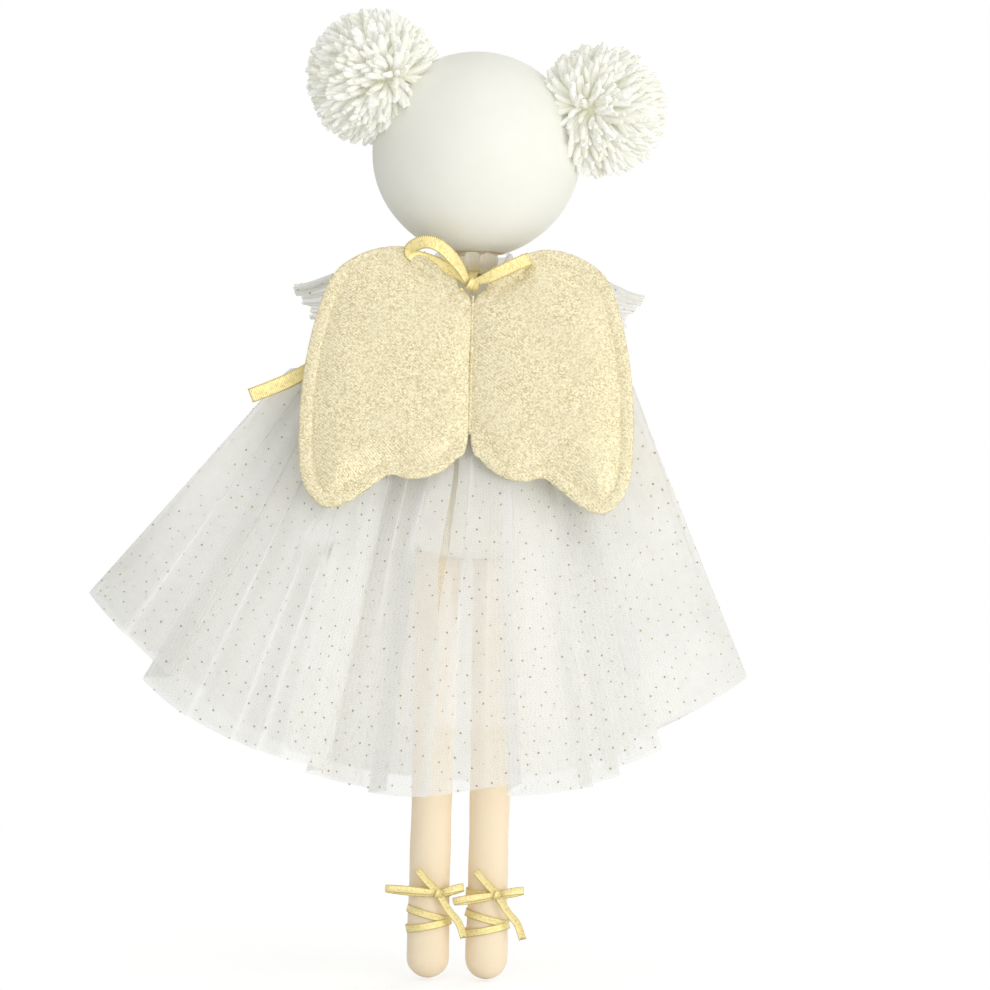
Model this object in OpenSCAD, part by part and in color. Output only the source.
// Cloth fairy doll: a stuffed body with hinged limbs, a tulle dress, padded wings and ribbon ties.
// Millimetres. The doll is upright and faces +Y, so its back and wings are on the -Y side.
// The origin is on the body's axis at the waist, where a hand or a doll stand holds it.

/* [Heights above the soles] */
// The waist, which is the origin
waist_height = 270; // [255:1:285]
// Lower edge of the torso
torso_foot = 209; // [205:1:212]
// Axis on which the legs swing
hip_height = 215; // [213:1:218]
// Seam where the skirt is gathered to the bodice
gather_height = 314; // [310:1:316]
// Axis on which the arms swing
shoulder_height = 331; // [329:1:334]
// Top of the torso, where the neck starts
torso_top = 349; // [347:1:350]
// Pivot of the head's nod, inside the head
nod_height = 366; // [365:1:368]
// Middle of the head
head_height = 410; // [408:1:413]

/* [Torso] */
// Half width of the torso at its widest
torso_half_w = 35; // [32:1:37]
// Half depth of the torso at its deepest
torso_half_d = 22; // [20:1:23]
// Thickness of the sewn skins
skin_wall = 1.2; // [0.8:0.1:1.6]
// Radius of the joining threads
thread_r = 1.2; // [0.8:0.1:1.5]

/* [Head] */
// Radius of the head
head_r = 52; // [49:1:54]
// Radius of the neck
neck_r = 11.5; // [10:0.5:12.5]
// Radius of the neck's ball end
neck_ball_r = 13; // [12.5:0.5:15]
// Reach of the hairline in front of the head's middle
hairline_y = 14; // [8:1:20]
// Lean of the hairline, so that it is further forward at the crown
hairline_lean = 22; // [10:1:30]
// Radius of an embroidered eye
eye_r = 2.8; // [2:0.1:4]
// Half the distance between the eyes
eye_x = 18; // [14:1:22]
// How far the eyes are below the head's middle
eye_drop = 6; // [2:1:10]
// Thickness of the face's embroidery
stitch_thick = 0.6; // [0.3:0.1:1]
// Radius of the mouth's curve
mouth_r = 7; // [5:0.5:10]

/* [Pom-poms] */
// Radius of the left pom-pom
left_pompom_r = 33; // [28:1:35]
// Radius of the right pom-pom
right_pompom_r = 32; // [28:1:35]

/* [Limbs] */
// Length of an arm below its swing axis
arm_length = 114; // [100:1:118]
// Radius of the arm
arm_r = 9.6; // [8:0.2:10]
// How far an arm stands out from the body
arm_splay = 28; // [26:1:32]
// How far an arm leans forward at rest
arm_lean = 12; // [11:1:14]
// Radius of the leg at the thigh
thigh_r = 10.8; // [9:0.2:11]
// Radius of the leg at the ankle
ankle_r = 10; // [8.5:0.5:10.5]
// Half the distance between the legs
leg_x = 14.5; // [13.5:0.5:15]
// Angle that the hip pockets leave for the legs to swing
hip_swing = 32; // [30:1:34]

/* [Dress] */
// Thickness of a tulle layer with its folds
tulle_wall = 1.2; // [0.8:0.1:1.6]
// Radius of the hem's arc in the middle of the back
skirt_radius = 206; // [198:1:210]
// Height above the soles of the point that the hem's arc is drawn from
skirt_centre = 302; // [298:1:306]
// Width of the spread skirt from tip to tip
skirt_w = 326; // [312:1:332]
// Share of that width to the left of the body's axis
left_share = 0.57; // [0.52:0.01:0.58]
// Height of the skirt's left tip above the soles
left_tip_height = 190; // [184:1:196]
// Height of the skirt's right tip above the soles
right_tip_height = 157; // [150:1:166]
// How far the gathered tulle stands out at the left, behind the arm
puff_left = 43; // [36:1:46]
// How far the gathered tulle stands out at the right, behind the arm
puff_right = 30; // [26:1:36]
// Half depth of the skirt at the hem
hem_depth = 78; // [72:1:84]
// Number of folds around the skirt
fold_count = 24; // [18:1:26]
// Depth of the folds as a share of the local depth
fold_share = 0.07; // [0.03:0.01:0.09]
// Height of the lining's hem above the soles
lining_hem = 128; // [122:1:136]
// Half width of the lining at its hem
lining_half_w = 74; // [66:1:78]
// Half depth of the lining at its hem
lining_half_d = 58; // [54:1:60]
// Thickness of the bodice cloth
bodice_wall = 1; // [0.6:0.1:1.2]
// Reach of the shoulder ruffles from the body's axis
ruffle_reach = 90; // [82:1:94]
// Number of gathers in a shoulder ruffle
ruffle_folds = 9; // [6:1:11]
// Radius of the neck frill's edge
frill_r = 27; // [24:1:29]

/* [Wings] */
// Height of the top of the wings' middle seam above the soles
wing_seam_top = 338; // [335:1:340]
// How far behind the body's axis the top of that seam is
wing_back = 34; // [33:1:38]
// How far the wings stand off at the bottom
wing_tilt = 9; // [8:1:12]
// Height of the wings' middle seam
wing_seam_len = 69; // [62:1:72]
// Width of one wing
wing_w = 83; // [74:1:86]
// Height of one wing
wing_h = 130; // [120:1:134]
// Thickness of the padded middle
wing_thick = 8; // [6:0.5:9]
// Thickness of the sewn rim
wing_rim = 2.4; // [1.6:0.2:3]
// Distance of the sewn channel from the edge
channel_in = 6.5; // [5:0.5:8]
// Half the gap between the wings at the seam
wing_gap = 2; // [1.6:0.2:2.6]

/* [Ribbons] */
// Width of the ribbon that ties the wings on
tie_w = 6.2; // [5:0.2:7]
// Length of the bow's right loop
bow_right = 29; // [20:1:36]
// Length of the bow's left loop
bow_left = 30; // [20:1:36]
// Width of the ankle ribbon
ankle_ribbon_w = 3.7; // [3:0.1:4.4]
// Thickness of the ribbons
ribbon_thick = 0.6; // [0.4:0.1:0.8]
// Height of the ankle bows above the soles
ankle_knot_height = 43; // [40:1:46]
// Slope of the crossing ankle bands
band_slope = 18; // [14:1:22]

/* [Hidden] */
$fn = 48;

left = -1;
right = 1;
skin = [0.98, 0.86, 0.74];
ivory = [0.96, 0.95, 0.91];
fill = [0.99, 0.99, 0.98];
tulle = [0.96, 0.95, 0.92, 0.6];
gold = [0.85, 0.75, 0.42];
pale_gold = [0.92, 0.86, 0.71];
thread = [0.9, 0.88, 0.82];
embroidery = [0.35, 0.27, 0.22];

// Room between pieces that move past each other, and room in a thread's bore
clear = 0.4;
bore_room = 0.06;

// Heights in the model's own frame
function up(height) = height - waist_height;
hip_z = up(hip_height);
shoulder_z = up(shoulder_height);
gather_z = up(gather_height);
head_z = up(head_height);
nod_z = up(nod_height);
sole_z = up(0);
shoulder_x = torso_half_w + arm_r + 0.8;
shoulder_y = 9;

function mix(a, b, t) = a + (b - a) * t;
function smooth(t) = let (c = min(1, max(0, t))) c * c * (3 - 2 * c);
function sign_of(x) = x < 0 ? -1 : 1;

// A closed curve that runs smoothly through a few points
function through(a, b, c, d, t) =
  ((2 * b) + (c - a) * t + (2 * a - 5 * b + 4 * c - d) * t * t + (3 * b - a - 3 * c + d) * t * t * t) / 2;
function closed_curve(points, steps) = let (n = len(points)) [
  for (i = [0:n - 1], s = [0:steps - 1])
    through(points[(i + n - 1) % n], points[i], points[(i + 1) % n], points[(i + 2) % n], s / steps)
];

// Side faces between rings of n points, ring i joined to ring i + 1
function wall_faces(n, pairs) = [
  for (p = pairs, j = [0:n - 1])
    let (a = p[0] * n, b = p[1] * n, k = (j + 1) % n)
      each [[a + j, b + j, b + k], [a + j, b + k, a + k]]
];

// A solid through rings stacked upwards, each anticlockwise from above, with flat ends
module stacked(rings) {
  n = len(rings[0]);
  last = len(rings) - 1;
  ends = [[for (j = [0:n - 1]) j], [for (j = [n - 1:-1:0]) last * n + j]];
  pairs = [for (i = [0:last - 1]) [i, i + 1]];
  polyhedron([for (r = rings) each r], concat(wall_faces(n, pairs), ends), 4);
}

// A wall through rings that go up the outside and come down the inside
module hollow(rings) {
  n = len(rings[0]);
  count = len(rings);
  pairs = [for (i = [0:count - 1]) [i, (i + 1) % count]];
  polyhedron([for (r = rings) each r], wall_faces(n, pairs), 4);
}

// Torso: oval rings that swell at the hips and chest and draw in at the waist and shoulders.
// Each row is a height, a share of the half width and a share of the half depth.
torso_rows = [
  [torso_foot, 0.88, 0.78], [mix(torso_foot, waist_height, 0.1), 0.96, 0.92],
  [mix(torso_foot, waist_height, 0.4), 1.02, 1.04], [mix(torso_foot, waist_height, 0.87), 0.94, 0.99],
  [mix(waist_height, shoulder_height, 0.5), 0.99, 1.03], [mix(waist_height, shoulder_height, 0.9), 1, 0.99],
  [mix(shoulder_height, torso_top, 0.4), 0.9, 0.86], [mix(shoulder_height, torso_top, 0.72), 0.66, 0.68],
  [torso_top, 0.4, 0.6]
];
torso_sides = 32;

function oval(z, half_w, half_d, sides) =
  [for (j = [0:sides - 1]) let (a = 360 * j / sides) [half_w * cos(a), half_d * sin(a), z]];
function torso_ring(row, out) =
  oval(up(row[0]), torso_half_w * row[1] + out, torso_half_d * row[2] + out, torso_sides);

module torso_form(out) {
  stacked([for (row = torso_rows) torso_ring(row, out)]);
}

// Inside of the torso's skin, open at both ends so that neck and hips are sewn to the filling
module torso_inside() {
  rows = [
    for (i = [0:len(torso_rows) - 1])
      let (r = torso_rows[i], end = i == 0 ? -1 : i == len(torso_rows) - 1 ? 1 : 0) [r[0] + end, r[1], r[2]]
  ];
  stacked([for (row = rows) torso_ring(row, -skin_wall)]);
}

module torso_filling() {
  stacked([for (row = torso_rows) torso_ring(row, -skin_wall)]);
}

// Pockets in the torso's foot in which the tops of the legs swing
module hip_pockets() {
  pocket_r = thigh_r + clear;
  steps = 12;
  step = (180 - 2 * hip_swing) / steps;
  reach = 4 * pocket_r;
  crown = [for (i = [0:steps]) let (a = hip_swing + step * i) pocket_r / cos(step / 2) * [cos(a), sin(a)]];
  foot_y = pocket_r * cos(hip_swing) + reach * sin(hip_swing);
  foot_z = pocket_r * sin(hip_swing) - reach * cos(hip_swing);
  outline = concat(crown, [[-foot_y, foot_z], [foot_y, foot_z]]);
  for (side = [left, right])
    translate([side * leg_x - pocket_r, 0, hip_z])
      rotate([90, 0, 90]) linear_extrude(2 * pocket_r) polygon(outline);
}

module hip_line(r) {
  half = torso_half_w * 0.88 - skin_wall - 1;
  translate([-half, 0, hip_z]) rotate([0, 90, 0]) cylinder(r = r, h = 2 * half);
}

module shoulder_line(side, r) {
  inner = torso_half_w * 0.6;
  outer = shoulder_x + arm_r * 0.5;
  translate([side * (inner + outer) / 2, shoulder_y, shoulder_z])
    rotate([0, 90, 0]) cylinder(r = r, h = outer - inner, center = true);
}

module torso_cover() {
  color(skin) difference() {
    torso_form(0);
    torso_inside();
    hip_pockets();
    for (side = [left, right]) shoulder_line(side, thread_r);
  }
}

module torso_stuffing() {
  color(fill) difference() {
    torso_filling();
    hip_pockets();
    hip_line(thread_r);
    for (side = [left, right]) shoulder_line(side, thread_r);
  }
}

module hip_thread() {
  color(thread) hip_line(thread_r);
}

module left_shoulder_thread() {
  color(thread) shoulder_line(left, thread_r);
}

module right_shoulder_thread() {
  color(thread) shoulder_line(right, thread_r);
}

// Neck: a stuffed stub that turns on the torso and ends in a ball inside the head
module neck() {
  color(skin) {
    translate([0, 0, up(torso_top) + clear]) cylinder(r = neck_r, h = nod_height - torso_top);
    translate([0, 0, nod_z]) sphere(r = neck_ball_r);
  }
}

// Head: a ball that is a little flat on top and narrows to the neck
head_steps = 30;
function head_profile(out) = [
  for (i = [0:head_steps])
    let (
      a = -90 + 180 * i / head_steps,
      narrow = a < 0 ? 1 - 0.07 * pow(-sin(a), 3) : 1,
      flat = a > 0 ? 0.975 : 1
    )
      [max(0, (head_r + out) * cos(a) * narrow), (head_r + out) * sin(a) * flat]
];

module head_form(out) {
  translate([0, 0, head_z]) rotate_extrude($fn = 72) polygon(head_profile(out));
}

// Opening in the head's underside that lets the neck nod
module neck_opening() {
  throat_r = neck_r + 3.4;
  translate([0, 0, nod_z]) sphere(r = neck_ball_r + clear);
  translate([0, 0, nod_z - 2 * neck_ball_r]) cylinder(r = throat_r, h = 2 * neck_ball_r);
}

// The half of space in front of the hairline
module face_side() {
  size = 3 * head_r;
  translate([0, hairline_y, head_z])
    rotate([-hairline_lean, 0, 0])
      translate([-size / 2, 0, -size / 2]) cube(size);
}

module head_skin() {
  difference() {
    head_form(0);
    head_form(-skin_wall);
    neck_opening();
  }
}

module hair_panel() {
  color(ivory) difference() {
    head_skin();
    face_side();
    for (side = [left, right]) pompom_stem(side);
  }
}

module face_panel() {
  color(skin) intersection() {
    head_skin();
    face_side();
  }
}

module head_stuffing() {
  color(fill) difference() {
    head_form(-skin_wall);
    neck_opening();
    for (side = [left, right]) pompom_stem(side);
  }
}

// Embroidery lies on the face panel, inside an upright outline that is pushed through it
module on_face() {
  intersection() {
    difference() {
      head_form(stitch_thick);
      head_form(0);
    }
    translate([0, hairline_y + head_r / 4, head_z])
      rotate([-90, 0, 0]) linear_extrude(head_r) children();
  }
}

module eye(side) {
  color(embroidery) on_face() translate([side * eye_x, eye_drop]) circle(r = eye_r);
}

module left_eye() {
  eye(left);
}

module right_eye() {
  eye(right);
}

module mouth() {
  stroke = 1.4;
  drop = eye_drop + 11;
  color([0.8, 0.45, 0.42]) on_face() translate([0, drop]) intersection() {
    difference() {
      circle(r = mouth_r);
      circle(r = mouth_r - stroke);
    }
    translate([-mouth_r, mouth_r * 0.5]) square([2 * mouth_r, mouth_r]);
  }
}

// Pom-poms: balls of yarn that are drawn down onto the head by a thread through their middle
left_pompom_at = [-0.988 * head_r, -0.173 * head_r, head_z + 0.685 * head_r];
right_pompom_at = [1.16 * head_r, -0.173 * head_r, head_z + 0.423 * head_r];
function pompom_at(side) = side == left ? left_pompom_at : right_pompom_at;
function pompom_r(side) = side == left ? left_pompom_r : right_pompom_r;

// The line from the head's middle out to the pom-pom's middle, as +Z
function pompom_reach(side) = norm(pompom_at(side) - [0, 0, head_z]);
module along_stem(side) {
  to = pompom_at(side) - [0, 0, head_z];
  translate([0, 0, head_z])
    rotate([0, acos(to[2] / norm(to)), atan2(to[1], to[0])]) children();
}

// The thread runs from inside the head to the pom-pom's middle
module pompom_stem(side) {
  inner = head_r - 12;
  along_stem(side) translate([0, 0, inner]) cylinder(r = thread_r * 1.5, h = pompom_reach(side) - inner);
}

module pompom(side) {
  color(ivory) difference() {
    along_stem(side) translate([0, 0, pompom_reach(side)]) sphere(r = pompom_r(side));
    head_form(0);
    pompom_stem(side);
  }
}

module left_pompom() {
  pompom(left);
}

module right_pompom() {
  pompom(right);
}

module left_pompom_tie() {
  color(thread) pompom_stem(left);
}

module right_pompom_tie() {
  color(thread) pompom_stem(right);
}

// Arm profile, from the tip of the hand at the bottom to the round top on the swing axis.
// It narrows at the wrist and swells at the hand.
arm_steps = 9;
function arm_width(t) = arm_r * (1 - 0.14 * smooth((t - 0.25) / 0.5) + 0.18 * smooth((t - 0.72) / 0.2));
function arm_profile(out) = let (tip_r = arm_width(1), straight = arm_length - tip_r) concat(
  [for (i = [0:8]) let (a = -90 + 90 * i / 8) [(tip_r + out) * cos(a), -straight + (tip_r + out) * sin(a)]],
  [for (i = [arm_steps - 1:-1:0]) let (t = i / arm_steps) [arm_width(t) + out, -straight * t]],
  [for (i = [1:8]) let (a = 90 * i / 8) [(arm_r + out) * cos(a), (arm_r + out) * sin(a)]]
);

module at_shoulder(side) {
  translate([side * shoulder_x, shoulder_y, shoulder_z])
    rotate([arm_lean, 0, 0]) rotate([0, -side * arm_splay, 0]) children();
}

module arm_form(side, out) {
  at_shoulder(side) rotate_extrude() polygon(arm_profile(out));
}

// The skin is open at the top of the arm, inside the sleeve, where it is sewn shut
module arm_mouth(side) {
  at_shoulder(side) translate([0, 0, arm_r * 0.8]) cylinder(r = arm_r, h = arm_r);
}

module arm_cover(side) {
  color(skin) difference() {
    arm_form(side, 0);
    arm_form(side, -skin_wall);
    arm_mouth(side);
    shoulder_line(side, thread_r + bore_room);
  }
}

module arm_stuffing(side) {
  color(fill) difference() {
    arm_form(side, -skin_wall);
    arm_mouth(side);
    shoulder_line(side, thread_r + bore_room);
  }
}

module left_arm_cover() {
  arm_cover(left);
}

module left_arm_stuffing() {
  arm_stuffing(left);
}

module right_arm_cover() {
  arm_cover(right);
}

module right_arm_stuffing() {
  arm_stuffing(right);
}

// Leg profile, from the sole up to the round top on the hip axis
leg_steps = 10;
function leg_width(t) = mix(thigh_r, ankle_r, smooth(t / 0.8)) + 0.5 * smooth((t - 0.86) / 0.14);
function leg_profile(out) = let (foot_r = leg_width(1), straight = hip_height - foot_r) concat(
  [for (i = [0:8]) let (a = -90 + 90 * i / 8) [(foot_r + out) * cos(a), -straight + (foot_r + out) * sin(a)]],
  [for (i = [leg_steps - 1:-1:0]) let (t = i / leg_steps) [leg_width(t) + out, -straight * t]],
  [for (i = [1:8]) let (a = 90 * i / 8) [(thigh_r + out) * cos(a), (thigh_r + out) * sin(a)]]
);

module leg_form(side, out) {
  translate([side * leg_x, 0, hip_z]) rotate_extrude() polygon(leg_profile(out));
}

module leg_mouth(side) {
  translate([side * leg_x, 0, hip_z + thigh_r * 0.8]) cylinder(r = thigh_r, h = thigh_r);
}

module leg_cover(side) {
  color(skin) difference() {
    leg_form(side, 0);
    leg_form(side, -skin_wall);
    leg_mouth(side);
    hip_line(thread_r + bore_room);
  }
}

module leg_stuffing(side) {
  color(fill) difference() {
    leg_form(side, -skin_wall);
    leg_mouth(side);
    hip_line(thread_r + bore_room);
  }
}

module left_leg_cover() {
  leg_cover(left);
}

module left_leg_stuffing() {
  leg_stuffing(left);
}

module right_leg_cover() {
  leg_cover(right);
}

module right_leg_stuffing() {
  leg_stuffing(right);
}

// Bodice: a close cloth round the chest with an armhole on each side
armhole_r = arm_r + 2;
bodice_lap = 4;
bodice_room = 0.4;
bodice_out = bodice_room + bodice_wall;

// The torso's row at any height, between the rows that are given
function torso_row_at(height) = [
  height,
  lookup(height, [for (row = torso_rows) [row[0], row[1]]]),
  lookup(height, [for (row = torso_rows) [row[0], row[2]]])
];

module bodice() {
  foot = gather_height - bodice_lap;
  rows = concat([torso_row_at(foot)], [for (row = torso_rows) if (row[0] > foot) row]);
  outside = [for (row = rows) torso_ring(row, bodice_room + bodice_wall)];
  inside = [for (i = [len(rows) - 1:-1:0]) torso_ring(rows[i], bodice_room)];
  color(ivory) difference() {
    hollow(concat(outside, inside));
    for (side = [left, right])
      translate([side * shoulder_x, shoulder_y, shoulder_z])
        rotate([0, 90, 0]) cylinder(r = armhole_r, h = torso_half_w, center = true);
  }
}

// Neck frill: a gathered collar that flares out from the neck, with waves at its edge
frill_sides = 48;
frill_waves = 12;
frill_rise = 6;

function frill_ring(r, z, wave) = [
  for (j = [0:frill_sides - 1])
    let (a = 360 * j / frill_sides, d = wave * cos(frill_waves * a))
      [(r + d) * cos(a), (r + d) * sin(a), z + d * 0.4]
];

module neck_frill() {
  inner_r = neck_r + 5;
  top = up(torso_top) + frill_rise;
  base = up(torso_top) + 0.6;
  slot_w = tie_w + 2 * clear;
  color(tulle) difference() {
    hollow([
      frill_ring(inner_r, base, 0), frill_ring(frill_r, base - 2, 1.6), frill_ring(frill_r, base - 1, 1.6),
      frill_ring(inner_r + tulle_wall, top, 0.5), frill_ring(inner_r, top, 0.5)
    ]);
    // The neckline opens at the back, where the ribbon comes through
    translate([-slot_w / 2, -2 * frill_r, base - frill_r]) cube([slot_w, 2 * frill_r, 2 * frill_r]);
  }
}

// Shoulder ruffle: a gathered cap that stands out over the top of the arm, open below.
// Gathers run out from the armhole, and its two ends are behind and in front of the arm.
ruffle_back = -118;
ruffle_front = 38;
ruffle_points = 4 * ruffle_folds;

function ruffle_edge(side, x, r, spread, wave) = [
  for (j = [0:ruffle_points])
    let (
      a = mix(ruffle_back, ruffle_front, j / ruffle_points),
      d = r + wave * cos(360 * ruffle_folds * j / ruffle_points)
    )
      [side * x, shoulder_y + spread * d * sin(a), shoulder_z + d * cos(a)]
];

module shoulder_ruffle(side) {
  root_x = torso_half_w + bodice_wall + 0.8;
  root_r = armhole_r + 1;
  rows = [[0, 0, 0], [0.4, 4, 1.2], [0.75, 4, 2.2], [1, -3, 2]];
  outside = [
    for (w = rows)
      ruffle_edge(side, mix(root_x, ruffle_reach, w[0]), root_r + w[1] + tulle_wall, 1, w[2])
  ];
  inside = [
    for (i = [len(rows) - 1:-1:0])
      let (w = rows[i]) ruffle_edge(side, mix(root_x, ruffle_reach, w[0]), root_r + w[1], 1, w[2])
  ];
  loop = concat(outside, inside);
  // The loop of rows goes round the cloth's section; points along it run from back to front
  n = len(loop);
  sections = [for (j = [0:ruffle_points]) [for (i = [0:n - 1]) loop[i][j]]];
  color(tulle) stacked(side == right ? sections : [for (s = sections) [for (i = [n - 1:-1:0]) s[i]]]);
}

module left_shoulder_ruffle() {
  shoulder_ruffle(left);
}

module right_shoulder_ruffle() {
  shoulder_ruffle(right);
}

// Lining: a plain bell round the hips and thighs
lining_sides = 48;
lining_levels = 4;
lining_room = 0.4;

function lining_ring(v, out) =
  let (
    top_w = torso_half_w + bodice_out + lining_room,
    top_d = torso_half_d + bodice_out + lining_room,
    flare = pow(v, 1.4)
  )
    oval(
      mix(gather_z, up(lining_hem), v),
      mix(top_w, lining_half_w, flare) + out,
      mix(top_d, lining_half_d, flare) + out,
      lining_sides
    );

module skirt_lining() {
  levels = [for (i = [0:lining_levels]) i / lining_levels];
  outside = [for (i = [lining_levels:-1:0]) lining_ring(levels[i], tulle_wall)];
  inside = [for (v = levels) lining_ring(v, 0)];
  color(ivory) hollow(concat(outside, inside));
}

// Tulle skirt: a fan that is wide to both sides and deeper towards the hem, with folds all round.
// The hem lies on an arc about a point in the chest. Above the hands the side fans stay thin and
// behind the arms.
skirt_sides = 4 * fold_count;
skirt_levels = [0, 0.07, 0.2, 0.4, 0.7, 1];
side_back = 19;
side_from = 24;
side_step = 40;
side_run = 24;
side_drop = 6;
fan_wall = 2;
skirt_room = 4.6;
puff_level = 0.07;

left_tip = [skirt_w * left_share, skirt_centre - left_tip_height];
right_tip = [skirt_w * (1 - left_share), skirt_centre - right_tip_height];
function skirt_tip(c) = c < 0 ? left_tip : right_tip;
function fan_angle(c) = atan2(skirt_tip(c)[0], skirt_tip(c)[1]) * abs(c);
function hem_radius(c) = mix(skirt_radius, norm(skirt_tip(c)), c * c);
function hem_x(c) = sign_of(c) * hem_radius(c) * sin(fan_angle(c));
function hem_z(c) = up(skirt_centre) - hem_radius(c) * cos(fan_angle(c));
function puff(c, v) = c * (c < 0 ? puff_left : puff_right) * smooth(v / puff_level) * (1 - v);
function thinness(v) = v < 0.2 ? mix(1, 5, smooth(v / 0.15)) : mix(5, 1.5, smooth((v - 0.25) / 0.6));

// Behind the doll the tulle goes no further back than the wings, which lie on it
function wing_front(z) = -wing_back - (up(wing_seam_top) - z) * tan(wing_tilt) + wing_thick / 2 + 1;
function held_back(y, z, out) = z < up(torso_foot) ? y : max(y, wing_front(z) + tulle_wall - out);

function skirt_point(a, v, out) =
  let (
    c = cos(a),
    s = sin(a),
    top_w = torso_half_w + bodice_out + skirt_room,
    top_d = torso_half_d + bodice_out + skirt_room,
    x = mix(top_w * c, hem_x(c), v) + puff(c, v) + out * c,
    z = mix(gather_z - side_drop * c * c, hem_z(c), v),
    fold = 1 + fold_share * smooth(v / 0.3) * cos(fold_count * a),
    depth = mix(top_d, hem_depth, v) * pow(abs(s), thinness(v)) * fold + out * abs(s),
    layer = (fan_wall / 2 + out) * sqrt(abs(s)) * smooth(v / puff_level),
    beside = smooth((abs(x) - side_from - side_step * v) / side_run),
    back = -side_back * beside * smooth(v / puff_level)
  )
    [x, held_back(back + sign_of(s) * (depth + layer), z, out), z];

function skirt_ring(v, out) =
  [for (j = [0:skirt_sides - 1]) skirt_point(360 * (j + 0.5) / skirt_sides, v, out)];

module tulle_skirt() {
  last = len(skirt_levels) - 1;
  outside = [for (i = [last:-1:0]) skirt_ring(skirt_levels[i], tulle_wall)];
  inside = [for (v = skirt_levels) skirt_ring(v, 0)];
  color(tulle) hollow(concat(outside, inside));
}

// Wing outline as shares of the wing's width and of the height above its lowest point.
// It starts at the top of the middle seam and goes out over the shoulder lobe.
wing_shares = [
  [0.02, 0.82], [0.15, 0.91], [0.33, 0.99], [0.5, 1], [0.69, 0.96], [0.83, 0.88], [0.92, 0.72], [0.98, 0.52],
  [1, 0.3], [0.98, 0.12], [0.9, 0.03], [0.8, 0], [0.67, 0.03], [0.54, 0.09], [0.44, 0.13], [0.32, 0.115],
  [0.19, 0.135], [0.09, 0.19], [0.02, 0.29]
];
wing_steps = 2;
wing_middle = [0.52, 0.52];
seam_share = 0.29;

// The wing's frame: its origin is at the top of the seam, with the seam going down -Z
module at_wings() {
  translate([0, -wing_back, up(wing_seam_top)]) rotate([-wing_tilt, 0, 0]) children();
}

function wing_outline(inset) =
  let (
    drop = wing_seam_len + seam_share * wing_h,
    span = wing_w - wing_gap,
    place = function(p) [wing_gap + span * p[0], wing_h * p[1] - drop],
    middle = place(wing_middle)
  )
    [
      for (p = closed_curve(wing_shares, wing_steps))
        let (q = place(p), away = q - middle) middle + away * (1 - inset / norm(away))
    ];

// Half thickness of the padding at each inset from the edge: rim, sewn channel, then the crown
wing_section = [
  [0, wing_rim / 2 - 0.4], [channel_in * 0.5, wing_rim * 0.75], [channel_in, wing_rim / 2],
  [channel_in * 1.7, wing_thick * 0.36], [channel_in * 2.8, wing_thick / 2]
];

function wing_ring(side, inset, y) = [for (p = wing_outline(inset)) [side * p[0], y, p[1]]];

module wing_form(side) {
  count = len(wing_section);
  front = [for (i = [count - 1:-1:0]) wing_ring(side, wing_section[i][0], wing_section[i][1])];
  back = [for (s = wing_section) wing_ring(side, s[0], -s[1])];
  rings = concat(front, back);
  n = len(rings[0]);
  at_wings() stacked(side == left ? rings : [for (r = rings) [for (j = [n - 1:-1:0]) r[j]]]);
}

// The wadding is a flat pad inside the sewn channel
module wing_pad(side) {
  pad_in = channel_in * 1.5;
  pad_thick = wing_rim * 0.8;
  at_wings()
    rotate([90, 0, 0]) translate([0, 0, -pad_thick / 2]) linear_extrude(pad_thick)
        polygon([for (p = wing_outline(pad_in)) [side * p[0], p[1]]]);
}

module wing_cover(side) {
  color(pale_gold) difference() {
    wing_form(side);
    wing_pad(side);
  }
}

module left_wing_cover() {
  wing_cover(left);
}

module right_wing_cover() {
  wing_cover(right);
}

module left_wing_wadding() {
  color(fill) wing_pad(left);
}

module right_wing_wadding() {
  color(fill) wing_pad(right);
}

// The two wings are sewn together on a cord down the middle
module wing_seam() {
  cord_r = wing_gap - clear - 0.2;
  color(pale_gold) at_wings() translate([0, 0, -wing_seam_len]) cylinder(r = cord_r, h = wing_seam_len);
}

// A ribbon strip in the plane of its own outline, with a width and an outline of middle points
function strip(points, w) =
  let (
    n = len(points),
    dirs = [for (i = [0:n - 1]) points[min(i + 1, n - 1)] - points[max(i - 1, 0)]],
    sides = [for (d = dirs) [-d[1], d[0]] / norm(d) * w / 2]
  )
    concat([for (i = [0:n - 1]) points[i] + sides[i]], [for (i = [n - 1:-1:0]) points[i] - sides[i]]);

// Draws an outline given in X and Z as a flat sheet that stands upright behind the doll
module upright_sheet(y, thick) {
  translate([0, y, 0]) rotate([90, 0, 0]) linear_extrude(thick, center = true) children();
}

// A flat bow loop along +X: a ribbon folded back on itself, seen on its edge
module bow_loop(length, w, belly) {
  steps = 10;
  outline = function(out) [
    for (i = [0:2 * steps - 1])
      let (a = 180 * i / steps)
        [length / 2 - (length / 2 + out) * cos(a), (belly / 2 + out) * sin(a) * sin(a / 2 + 20)]
  ];
  linear_extrude(w, center = true) difference() {
    polygon(outline(0));
    polygon(outline(-ribbon_thick));
  }
}

// Neck ribbon: it goes round the neck and back to the knot above the wings
knot_r = 5;
neck_ribbon_r = neck_r + 1.6;

module neck_ribbon() {
  z = up(torso_top) + 0.6;
  band = 4;
  run = wing_back - neck_ribbon_r - knot_r * 0.6;
  color(gold) {
    difference() {
      translate([0, 0, z]) cylinder(r = neck_ribbon_r + ribbon_thick, h = band - 1);
      translate([0, 0, z - 1]) cylinder(r = neck_ribbon_r, h = band + 1);
    }
  }
  color(gold) translate([-tie_w / 2, -neck_ribbon_r - run, z]) cube([tie_w, run, ribbon_thick]);
}

module at_knot() {
  translate([0, -wing_back, up(wing_seam_top) + knot_r + 2]) children();
}

module wing_knot() {
  color(gold) difference() {
    at_knot() sphere(r = knot_r);
    neck_ribbon();
  }
}

bow_belly = 8;

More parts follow.
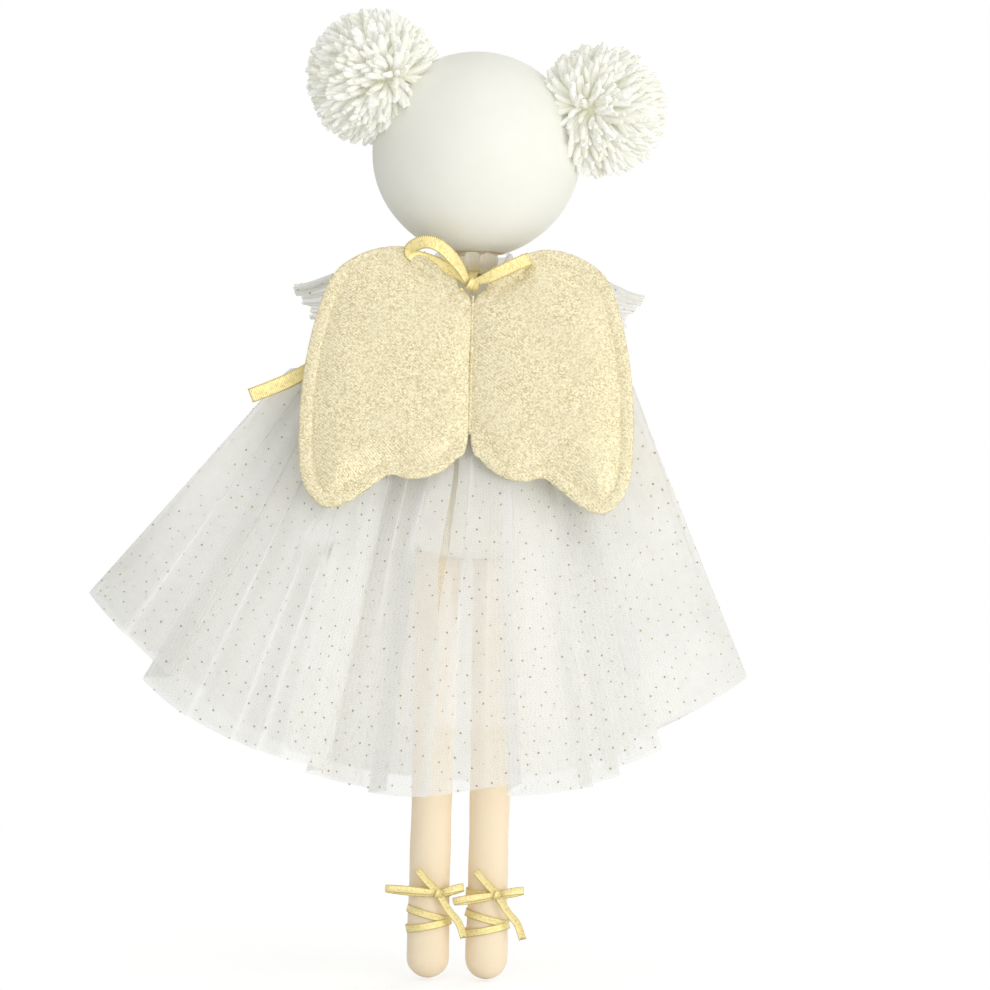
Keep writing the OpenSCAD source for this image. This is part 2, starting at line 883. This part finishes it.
module wing_bow() {
  color(gold) at_knot() difference() {
    union() {
      rotate([0, -41, 0]) translate([knot_r * 0.6, 0, 0]) bow_loop(bow_right, tie_w, bow_belly);
      mirror([1, 0, 0])
        rotate([0, -44, 0])
          translate([knot_r * 0.6, 0, 0])
            bow_loop(bow_left, tie_w, bow_belly);
    }
    sphere(r = knot_r);
  }
}

// One end of the tie runs down between the left wing and the dress and shows past the wing
tail_route = [[-4, 340], [-30, 326], [-58, 312], [-84, 297.5], [-107, 286]];
tail_y = -30;

module wing_ribbon_tail() {
  route = [for (p = tail_route) [p[0], up(p[1])]];
  color(gold) difference() {
    upright_sheet(tail_y, ribbon_thick) polygon(strip(route, tie_w));
    at_knot() sphere(r = knot_r);
  }
}

// Ankle ribbons: two sloping bands that cross behind the ankle, a knot, two loops and two tails
band_heights = [29, 33];
ankle_y = -ankle_r - 1.4;
knot_off = 5;
ankle_knot_r = 2.6;

module at_ankle(side) {
  translate([side * leg_x + knot_off, ankle_y - 0.4, up(ankle_knot_height)]) children();
}

module ankle_bands(side) {
  color(gold) intersection() {
    difference() {
      leg_form(side, ribbon_thick);
      leg_form(side, 0);
    }
    union() {
      for (i = [0, 1])
        translate([side * leg_x, 0, up(band_heights[i])])
          rotate([0, (i == 0 ? 1 : -1) * band_slope, 0])
            cylinder(r = 3 * thigh_r, h = ankle_ribbon_w, center = true);
      translate([side * leg_x, 0, up(ankle_knot_height)])
        cylinder(r = 3 * thigh_r, h = ankle_ribbon_w, center = true);
    }
  }
}

module ankle_knot(side) {
  color(gold) difference() {
    at_ankle(side) sphere(r = ankle_knot_r);
    leg_form(side, ribbon_thick);
  }
}

// Each loop is a length and a rise; the inner loops pass one above the other between the legs
function loop_to_right(side) = side == left ? [11.5, 16] : [12, 11];
function loop_to_left(side) = side == left ? [25.5, 4] : [21, -10];

module ankle_loop(loop) {
  rotate([0, -loop[1], 0]) translate([1, 0, 0]) bow_loop(loop[0], ankle_ribbon_w, 5);
}

module ankle_loops(side) {
  color(gold) difference() {
    at_ankle(side) {
      ankle_loop(loop_to_right(side));
      mirror([1, 0, 0]) ankle_loop(loop_to_left(side));
    }
    at_ankle(side) sphere(r = ankle_knot_r);
    leg_form(side, ribbon_thick);
  }
}

// Tails from the knot, in X and Z: one goes up to the left, one curves down to the right
up_tail = [[-1, 1], [-6, 6], [-11, 11.5]];
down_tail = [[1, -2], [5, -8], [10, -14], [13, -22]];

module ankle_tails(side) {
  color(gold) difference() {
    at_ankle(side) {
      upright_sheet(-0.8, ribbon_thick) polygon(strip(up_tail, ankle_ribbon_w));
      upright_sheet(-0.8, ribbon_thick) polygon(strip(down_tail, ankle_ribbon_w));
    }
    at_ankle(side) sphere(r = ankle_knot_r);
    leg_form(side, ribbon_thick);
  }
}

module left_ankle_bands() {
  ankle_bands(left);
}

module left_ankle_knot() {
  ankle_knot(left);
}

module left_ankle_loops() {
  ankle_loops(left);
}

module left_ankle_tails() {
  ankle_tails(left);
}

module right_ankle_bands() {
  ankle_bands(right);
}

module right_ankle_knot() {
  ankle_knot(right);
}

module right_ankle_loops() {
  ankle_loops(right);
}

module right_ankle_tails() {
  ankle_tails(right);
}

torso_cover();
torso_stuffing();
hip_thread();
left_shoulder_thread();
right_shoulder_thread();
neck();
hair_panel();
face_panel();
head_stuffing();
left_eye();
right_eye();
mouth();
left_pompom();
right_pompom();
left_pompom_tie();
right_pompom_tie();
left_arm_cover();
left_arm_stuffing();
right_arm_cover();
right_arm_stuffing();
left_leg_cover();
left_leg_stuffing();
right_leg_cover();
right_leg_stuffing();
bodice();
neck_frill();
left_shoulder_ruffle();
right_shoulder_ruffle();
skirt_lining();
tulle_skirt();
left_wing_cover();
left_wing_wadding();
right_wing_cover();
right_wing_wadding();
wing_seam();
neck_ribbon();
wing_knot();
wing_bow();
wing_ribbon_tail();
left_ankle_bands();
left_ankle_knot();
left_ankle_loops();
left_ankle_tails();
right_ankle_bands();
right_ankle_knot();
right_ankle_loops();
right_ankle_tails();
